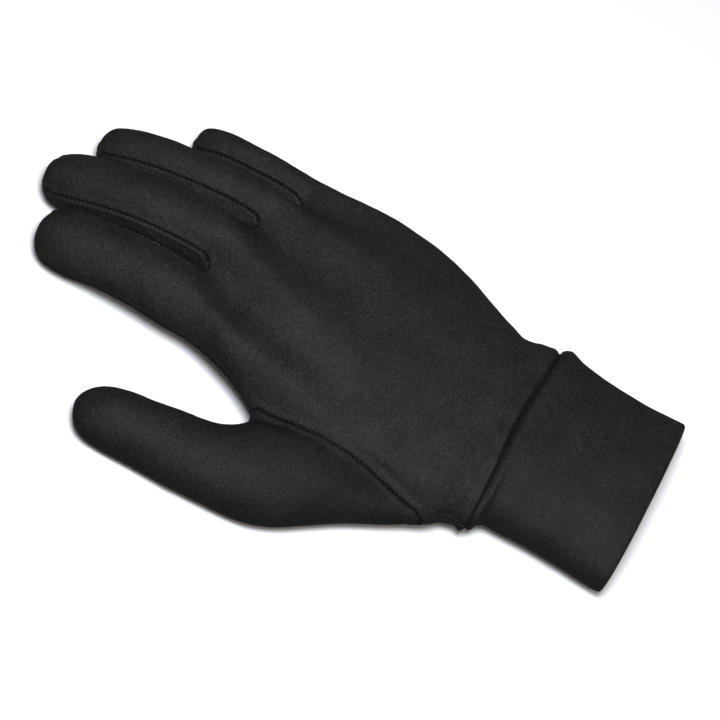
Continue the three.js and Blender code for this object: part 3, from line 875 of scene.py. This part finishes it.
def mouth_rows(outer, inner):
    """Rows of points across the wall's rounded edge at the mouth"""
    rows = []
    for step in range(1, MOUTH_STEPS):
        turn = math.pi * step / MOUTH_STEPS
        middle, half = (outer + inner) / 2, (outer - inner) / 2
        radius = np.linalg.norm(half, axis=1).mean()
        row = middle + half * math.cos(turn)
        row[:, 1] -= radius * math.sin(turn)
        rows.append(row)
    return rows


def build_piece(piece, surface, coarse, shaped, smooth, normals, seam):
    """Closed wall of one piece, fine outside and coarser inside"""
    thickness = CUFF_THICKNESS if piece == "cuff" else WALL_THICKNESS
    own = surface.pieces == piece
    outer_faces = surface.faces[own]
    inner_faces = outer_faces if piece == "cuff" else coarse.faces[coarse.pieces == piece]
    used = np.unique(outer_faces)
    inner_used = np.unique(inner_faces)
    order = np.full(len(surface.points), -1)
    order[used] = np.arange(len(used))
    inner_order = np.full(len(surface.points), -1)
    inner_order[inner_used] = len(used) + np.arange(len(inner_used))
    outer = shaped[used].copy()
    centre = smooth[outer_faces].mean(axis=1)
    pull = np.zeros_like(smooth)
    for corner in range(4):
        np.add.at(pull, outer_faces[:, corner], centre - smooth[outer_faces[:, corner]])
    rim = rim_of(inner_faces)
    fine_rim = rim_of(outer_faces)
    seam_points = np.unique([point for edge in fine_rim for point in edge])
    towards = pull[seam_points] / np.linalg.norm(pull[seam_points], axis=1)[:, None]
    at_seam = seam[seam_points, 0] < 0.01
    outer[order[seam_points]] += towards * SEAM_GAP * at_seam[:, None]
    inner = smooth[inner_used] - normals[inner_used] * thickness
    points = [outer, inner]
    count = len(used) + len(inner_used)
    faces = order[outer_faces].tolist() + inner_order[inner_faces][:, ::-1].tolist()
    middle_of = {tuple(pair): k for k, pair in enumerate(coarse.edges.tolist())}
    first_middle = len(coarse.points) + len(coarse.faces)
    mouth_edges = {}
    for a, b in rim:
        if max(smooth[a, 1], smooth[b, 1]) < -0.9 * CUFF_LENGTH:
            mouth_edges[a] = b
        elif piece == "cuff":
            faces.append([order[b], order[a], inner_order[a], inner_order[b]])
        else:
            middle = first_middle + middle_of[tuple(sorted((a, b)))]
            faces.append([order[b], order[middle], order[a], inner_order[a], inner_order[b]])
    if mouth_edges:
        ring = list(mouth_edges)
        place = {point: i for i, point in enumerate(ring)}
        ring_outer, ring_inner = outer[order[ring]], inner[inner_order[ring] - len(used)]
        ids = [order[ring]]
        for row in mouth_rows(ring_outer, ring_inner):
            points.append(row)
            ids.append(count + np.arange(len(ring)))
            count += len(ring)
        ids.append(inner_order[ring])
        for upper, lower in zip(ids, ids[1:]):
            for a, b in mouth_edges.items():
                i, j = place[a], place[b]
                faces.append([upper[j], upper[i], lower[i], lower[j]])
    obj = new_object(piece, np.concatenate(points), faces)
    mesh = obj.data
    values = np.full((len(mesh.vertices), 3), 9.0)
    values[: len(used)] = seam[used]
    add_attribute(mesh, "seam", "POINT", values)
    corners = np.zeros((len(mesh.loops), 3))
    grain = surface.grain[own].reshape(-1, 2)
    corners[: len(grain), :2] = grain
    if piece == "cuff":
        inner_grain = surface.grain[own][:, ::-1].reshape(-1, 2)
    else:
        inner_grain = coarse.grain[coarse.pieces == piece][:, ::-1].reshape(-1, 2)
    corners[len(grain) : len(grain) + len(inner_grain), :2] = inner_grain
    add_attribute(mesh, "grain", "CORNER", corners)
    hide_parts(piece)
    return obj


def add_attribute(mesh, name, domain, values):
    attribute = mesh.attributes.new(name, "FLOAT_VECTOR", domain)
    attribute.data.foreach_set("vector", np.asarray(values, np.float32).ravel())


def build_stitches(name, shaped, normals, chains):
    """Short threads across a group of seams, one at each stitch"""
    points, faces = [], []
    for _, chain in chains:
        line, across_up = shaped[chain], normals[chain]
        run = np.concatenate([[0], np.cumsum(np.linalg.norm(np.diff(line, axis=0), axis=1))])
        for at in np.arange(STITCH_PITCH, run[-1] - STITCH_PITCH / 2, STITCH_PITCH):
            place, ahead, up = (
                np.array([np.interp(x, run, values[:, axis]) for axis in range(3)])
                for x, values in ((at, line), (at + 0.3, line), (at, across_up))
            )
            along = (ahead - place) / np.linalg.norm(ahead - place)
            up = up / np.linalg.norm(up)
            side = np.cross(up, along)
            add_thread(points, faces, place, along, up, side)
    return new_object(name, np.array(points), faces)


def add_thread(points, faces, place, along, up, side):
    """One arched thread with tapered ends"""
    first = len(points)
    for step in range(THREAD_STEPS + 1):
        share = 2 * step / THREAD_STEPS - 1
        middle = place + side * THREAD_LENGTH / 2 * share + up * (THREAD_RISE - 0.35 * share**2)
        radius = THREAD_RADIUS * math.sqrt(1 - 0.8 * share**2)
        for corner in range(THREAD_SIDES):
            turn = 2 * math.pi * corner / THREAD_SIDES
            points.append(middle + radius * (1.3 * along * math.cos(turn) + up * math.sin(turn)))
    for step in range(THREAD_STEPS):
        for corner in range(THREAD_SIDES):
            a = first + step * THREAD_SIDES + corner
            b = first + step * THREAD_SIDES + (corner + 1) % THREAD_SIDES
            faces.append([a, b, b + THREAD_SIDES, a + THREAD_SIDES])
    last = first + THREAD_STEPS * THREAD_SIDES
    faces.append([first + corner for corner in reversed(range(THREAD_SIDES))])
    faces.append([last + corner for corner in range(THREAD_SIDES)])


class Nodes:
    """Short names for building a material's nodes"""

    def __init__(self, name):
        self.material = bpy.data.materials.new(name)
        self.material.use_nodes = True
        self.tree = self.material.node_tree
        self.shader = self.tree.nodes["Principled BSDF"]

    def add(self, kind, **settings):
        node = self.tree.nodes.new(kind)
        for key, value in settings.items():
            setattr(node, key, value)
        return node

    def put(self, socket, value):
        if isinstance(value, bpy.types.NodeSocket):
            self.tree.links.new(value, socket)
        else:
            socket.default_value = value

    def math(self, operation, *values):
        node = self.add("ShaderNodeMath", operation=operation)
        for socket, value in zip(node.inputs, values):
            self.put(socket, value)
        return node.outputs[0]

    def attribute(self, name):
        vector = self.add("ShaderNodeAttribute", attribute_name=name).outputs["Vector"]
        split = self.add("ShaderNodeSeparateXYZ")
        self.put(split.inputs[0], vector)
        return split.outputs

    def noise(self, size, detail=2, roughness=0.5):
        """Noise between 0 and 1 with features of a size in millimetres"""
        place = self.add("ShaderNodeTexCoord").outputs["Object"]
        node = self.add("ShaderNodeTexNoise")
        self.put(node.inputs["Vector"], place)
        self.put(node.inputs["Scale"], 1 / (size * MM))
        self.put(node.inputs["Detail"], detail)
        self.put(node.inputs["Roughness"], roughness)
        return node.outputs["Fac"]

    def ramp(self, value, low, high, start, end):
        """Value from low to high, turned into start to end"""
        node = self.add("ShaderNodeMapRange", interpolation_type="SMOOTHSTEP")
        for key, number in zip(("From Min", "From Max", "To Min", "To Max"), (low, high, start, end)):
            node.inputs[key].default_value = number
        self.put(node.inputs["Value"], value)
        return node.outputs[0]

    def tinted(self, colour, value):
        """A colour times a value"""
        node = self.add("ShaderNodeVectorMath", operation="SCALE")
        node.inputs[0].default_value = colour
        self.put(node.inputs["Scale"], value)
        return node.outputs[0]


def knit_material(name, colour, wale, course):
    """Brushed jersey: columns of small loops, fuzz, mottled dye, light flecks that are partly fluff
    and partly painted glints, and dark seams
    """
    n = Nodes(name)
    across, along, _ = n.attribute("grain")
    wander = n.math("MULTIPLY", n.noise(9), COLUMN_WANDER)
    across = n.math("ADD", across, wander)
    column = n.math("FRACT", n.math("DIVIDE", across, wale))
    edge = n.math("MULTIPLY", n.math("ABSOLUTE", n.math("SUBTRACT", column, 0.5)), 2)
    loop = n.math("ADD", n.math("DIVIDE", along, course), n.math("MULTIPLY", edge, 0.4))
    swing = n.math("SINE", n.math("MULTIPLY", loop, 2 * math.pi))
    rounded_column = n.math("SUBTRACT", 1, n.math("MULTIPLY", edge, edge))
    loops = n.math("MULTIPLY", rounded_column, n.math("ADD", 0.65, n.math("MULTIPLY", swing, 0.35)))
    fuzz = n.noise(FUZZ_SIZE, 4, 0.65)
    specks = n.noise(SPECK_SIZE, 3, 0.65)
    clumps = n.noise(CLUMP_SIZE, 3, 0.6)
    mottle = n.noise(MOTTLE_SIZE, 3, 0.55)
    distance, run, wrist = n.attribute("seam")
    near = n.ramp(distance, 0.05, 0.7, 1, 0)
    stitch = n.math("COSINE", n.math("MULTIPLY", run, 2 * math.pi / STITCH_PITCH))
    dots = n.math("ADD", 0.7, n.math("MULTIPLY", stitch, 0.3))
    shade = n.math("SUBTRACT", 1, n.math("MULTIPLY", n.math("MULTIPLY", near, dots), SEAM_DARKNESS))
    value = n.math("MULTIPLY", shade, n.ramp(mottle, 0.3, 0.7, 0.86, 1.14))
    value = n.math("MULTIPLY", value, n.ramp(clumps, 0.25, 0.75, 0.8, 1.2))
    value = n.math("MULTIPLY", value, n.ramp(fuzz, 0.3, 0.7, 0.6, 1.4))
    value = n.math("MULTIPLY", value, n.ramp(specks, 0.34, 0.66, 0.5, 1.55))
    value = n.math("MULTIPLY", value, n.math("ADD", 0.8, n.math("MULTIPLY", loops, 0.35)))
    # Light flecks added to the colour: partly fluff on the knit, partly painted glints of fibres
    # catching the light
    lint_and_glint = n.add("ShaderNodeTexVoronoi", feature="F1")
    n.put(lint_and_glint.inputs["Vector"], n.add("ShaderNodeTexCoord").outputs["Object"])
    lint_and_glint.inputs["Scale"].default_value = 1 / (LINT_AND_GLINT_SPACING * MM)
    chosen = n.add("ShaderNodeSeparateColor")
    n.put(chosen.inputs[0], lint_and_glint.outputs["Color"])
    fleck_and_glint = n.ramp(lint_and_glint.outputs["Distance"], 0.05, 0.12, 1, 0)
    fleck_and_glint = n.math("MULTIPLY", fleck_and_glint, n.ramp(chosen.outputs[0], 0.72, 0.95, 0, 1))
    value = n.math("ADD", value, n.math("MULTIPLY", fleck_and_glint, LINT_AND_GLINT_BRIGHTNESS))
    n.put(n.shader.inputs["Base Color"], n.tinted(colour, value))
    n.put(n.shader.inputs["Roughness"], n.ramp(clumps, 0.2, 0.8, *CLOTH_ROUGHNESS))
    n.shader.inputs["Specular IOR Level"].default_value = CLOTH_SPECULAR
    height = n.math("MULTIPLY", loops, LOOP_HEIGHT)
    height = n.math("ADD", height, n.math("MULTIPLY", fuzz, FUZZ_HEIGHT))
    height = n.math("ADD", height, n.math("MULTIPLY", clumps, CLUMP_HEIGHT))
    pucker = n.math("MULTIPLY", stitch, n.ramp(distance, 0.2, 2.2, 1, 0))
    pucker = n.math("MULTIPLY", pucker, n.math("SUBTRACT", 1, wrist))
    height = n.math("SUBTRACT", height, n.math("MULTIPLY", pucker, PUCKER_HEIGHT))
    bump = n.add("ShaderNodeBump")
    bump.inputs["Strength"].default_value = BUMP_STRENGTH
    bump.inputs["Distance"].default_value = MM
    n.put(bump.inputs["Height"], height)
    n.put(n.shader.inputs["Normal"], bump.outputs[0])
    return n.material


def thread_material():
    """Dark twisted sewing thread"""
    n = Nodes("thread")
    twist = n.noise(0.25, 2)
    n.put(n.shader.inputs["Base Color"], n.tinted(THREAD_COLOUR, n.ramp(twist, 0.3, 0.7, 0.6, 1.4)))
    n.put(n.shader.inputs["Roughness"], n.ramp(twist, 0.3, 0.7, 0.5, 0.75))
    n.shader.inputs["Specular IOR Level"].default_value = 0.2
    bump = n.add("ShaderNodeBump")
    bump.inputs["Strength"].default_value = 0.6
    bump.inputs["Distance"].default_value = 0.1 * MM
    n.put(bump.inputs["Height"], twist)
    n.put(n.shader.inputs["Normal"], bump.outputs[0])
    return n.material


def build_floor():
    """Plain white floor"""
    mesh = bpy.data.meshes.new("floor")
    half = FLOOR_HALF
    corners = [(-half, -half, 0), (half, -half, 0), (half, half, 0), (-half, half, 0)]
    mesh.from_pydata(corners, [], [(0, 1, 2, 3)])
    floor = bpy.data.objects.new("floor", mesh)
    bpy.context.scene.collection.objects.link(floor)
    n = Nodes("floor")
    n.put(n.shader.inputs["Base Color"], n.tinted(FLOOR_COLOUR, n.ramp(n.noise(400), 0, 1, 0.97, 1)))
    n.shader.inputs["Roughness"].default_value = 0.9
    n.shader.inputs["Specular IOR Level"].default_value = 0.1
    mesh.materials.append(n.material)
    # The photo's ground is cut out, so this one is white to the eye but sends the cloth no light.
    floor.visible_diffuse = False
    floor.visible_glossy = False


def aim(obj, place, target):
    obj.location = place
    direction = Vector(target) - Vector(place)
    obj.rotation_euler = direction.to_track_quat("-Z", "Y").to_euler()


def build_lights():
    for light in LIGHTS:
        data = bpy.data.lights.new(light["name"], "AREA")
        data.shape = "DISK"
        data.size = light["size"]
        data.energy = light["energy"]
        data.color = light["colour"]
        obj = bpy.data.objects.new(light["name"], data)
        bpy.context.scene.collection.objects.link(obj)
        aim(obj, light["place"], Vector(VIEW_TARGET) * MM)
    world = bpy.data.worlds.new("studio")
    world.use_nodes = True
    background = world.node_tree.nodes["Background"]
    background.inputs[0].default_value = (1, 1, 1, 1)
    background.inputs[1].default_value = WORLD_STRENGTH
    bpy.context.scene.world = world
    bpy.context.scene.view_settings.view_transform = "Standard"


def build_camera():
    data = bpy.data.cameras.new("camera")
    data.lens = LENS
    data.sensor_width = SENSOR
    camera = bpy.data.objects.new("camera", data)
    bpy.context.scene.collection.objects.link(camera)
    elevation, roll = math.radians(VIEW_ELEVATION), math.radians(VIEW_ROLL)
    back = Vector((-math.cos(elevation), 0, math.sin(elevation)))
    level = Vector((0, -1, 0))
    raised = Vector((math.sin(elevation), 0, math.cos(elevation)))
    right = level * math.cos(roll) + raised * math.sin(roll)
    up = raised * math.cos(roll) - level * math.sin(roll)
    distance = LENS / SENSOR * VIEW_WIDTH * MM
    place = Vector(VIEW_TARGET) * MM + back * distance
    camera.matrix_world = Matrix.Translation(place) @ Matrix((right, up, back)).transposed().to_4x4()
    bpy.context.scene.camera = camera


def build_glove():
    cage = Cage()
    place_fingers()
    rows, knuckle_ring, hole = build_hand(cage)
    build_fingers(cage, rows, knuckle_ring)
    build_thumb(cage, hole)
    surface = fitted(cage)
    for _ in range(FINE_STEPS):
        coarse, surface = surface, surface.subdivided()
    chains = seam_chains(surface)
    shaped, smooth, normals, seam = shaped_points(surface, chains)
    knit = knit_material("knit", CLOTH_COLOUR, WALE_WIDTH, COURSE_HEIGHT)
    knits = {
        "cuff": knit_material("cuff_knit", CUFF_COLOUR, WALE_WIDTH, COURSE_HEIGHT),
        # The thumb gets a darker copy of the knit: painted shade on the thumb
        "thumb": knit_material("thumb_knit_shaded", SHADED_THUMB_COLOUR, WALE_WIDTH, COURSE_HEIGHT),
    }
    for piece in dict.fromkeys(surface.pieces.tolist()):
        obj = build_piece(piece, surface, coarse, shaped, smooth, normals, seam)
        obj.data.materials.append(knits.get(piece, knit))
    thread = thread_material()
    sewn = [chain for chain in chains if "cuff" not in chain[0]]
    groups = {
        "stitches_thumb": [chain for chain in sewn if "thumb" in chain[0]],
        "stitches_fingers": [chain for chain in sewn if "fourchette" in "".join(chain[0])],
        "stitches_sides": [chain for chain in sewn if chain[0] == ("back", "palm")],
    }
    for name, group in groups.items():
        stitches = build_stitches(name, shaped, normals, group)
        stitches.data.materials.append(thread)


build_camera()
build_floor()
build_lights()
build_glove()
